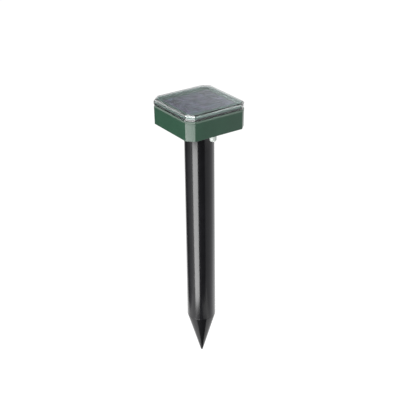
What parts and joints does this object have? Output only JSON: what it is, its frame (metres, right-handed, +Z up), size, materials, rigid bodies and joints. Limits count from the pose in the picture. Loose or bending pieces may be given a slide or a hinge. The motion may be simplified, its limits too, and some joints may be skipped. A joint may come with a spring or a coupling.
{
  "type": "ultrasonic pest repeller",
  "caption": "Solar stake repeller: square green head with a clear lid over a solar panel, on a round black tube with a cone tip that is pushed into soil.",
  "frame": {"origin": "on the tube's axis at the tube's top edge, level with the underside of the head", "axes": "+Z up along the tube towards the head; -Y towards the side with the push switch"},
  "size_m": [0.0926, 0.0926, 0.392],
  "materials": {
    "green_plastic": "satin moulded ABS",
    "clear_plastic": "clear polished acrylic",
    "black_rubber": "matt",
    "tray_plastic": "moulded",
    "panel_glass": "clear resin",
    "solar_cell": "dark silicon",
    "ribbon_metal": "tinned",
    "board_laminate": "solder mask",
    "black_plastic": "moulded",
    "black_tube": "satin black coating on aluminium",
    "zinc_steel": "zinc plated",
    "copper": "enamelled wire",
    "component_case": "moulded",
    "resistor_body": "lacquer",
    "battery_sleeve": "shrink film",
    "red_insulation": "wire insulation",
    "black_insulation": "wire insulation",
    "white_silicone": "soft satin silicone",
    "foam": "open-cell foam",
    "adhesive_tape": "double-sided foam tape",
    "ferrite": "sintered",
    "speaker_film": "formed film"
  },
  "bodies": {
    "stake": {"stake_tube": "black_tube", "stake_collar": "black_plastic", "tube_seal": "black_rubber", "stake_tip": "black_plastic", "lead_foam": "foam", "speaker_spacer": "foam", "speaker_gasket": "foam", "speaker_frame": "zinc_steel", "speaker_top_plate": "zinc_steel", "speaker_magnet": "ferrite", "speaker_yoke": "zinc_steel", "speaker_surround": "black_rubber", "speaker_terminals": "board_laminate", "speaker_lead_lower": "black_insulation"},
    "head": {"head_housing": "green_plastic", "base_plate": "green_plastic", "base_screws": "zinc_steel", "clear_lid": "clear_plastic", "lid_gasket": "black_rubber", "panel_tray": "tray_plastic", "panel_tape": "adhesive_tape", "panel_backboard": "board_laminate", "solar_cells": "solar_cell", "cell_ribbons": "ribbon_metal", "panel_cover": "panel_glass", "control_board": "board_laminate", "board_screws": "zinc_steel", "control_chip": "component_case", "capacitors": "battery_sleeve", "coil_core": "ferrite", "coil_winding": "copper", "transistors": "component_case", "resistors": "resistor_body", "charge_diode": "component_case", "battery_holder_right": "black_plastic", "battery_cell_right": "battery_sleeve", "battery_holder_rear": "black_plastic", "battery_cell_rear": "battery_sleeve", "battery_holder_left": "black_plastic", "battery_cell_left": "battery_sleeve", "battery_contacts": "zinc_steel", "battery_link_right": "red_insulation", "battery_link_left": "black_insulation", "battery_lead_positive": "red_insulation", "battery_lead_negative": "black_insulation", "panel_lead_positive": "red_insulation", "panel_lead_negative": "black_insulation", "switch_body": "black_plastic", "switch_terminals": "zinc_steel", "switch_boot": "white_silicone", "boot_retainer": "green_plastic", "switch_spring": "zinc_steel", "lead_grommet": "black_rubber", "speaker_lead_upper": "black_insulation"},
    "switch_plunger": {"switch_plunger": "black_plastic"},
    "speaker_diaphragm": {"speaker_cone": "speaker_film", "voice_coil": "copper", "dust_cap": "speaker_film"}
  },
  "joints": [
    {"name": "head_twist", "type": "hinge", "parent": "stake", "child": "head", "pos_m": [0, 0, 0], "axis": [0, 0, 1], "range_deg": [0, 30]},
    {"name": "switch_press", "type": "slide", "parent": "head", "child": "switch_plunger", "axis": [0, 0, 1], "range_m": [0, 0.002], "stiffness_N_per_m": 600, "springref_m": -0.001, "deforming": ["switch_boot", "switch_spring"]},
    {"name": "speaker_travel", "type": "slide", "parent": "stake", "child": "speaker_diaphragm", "axis": [0, 0, 1], "range_m": [-0.0004, 0.0004], "stiffness_N_per_m": 800, "deforming": ["speaker_surround"]}
  ]
}
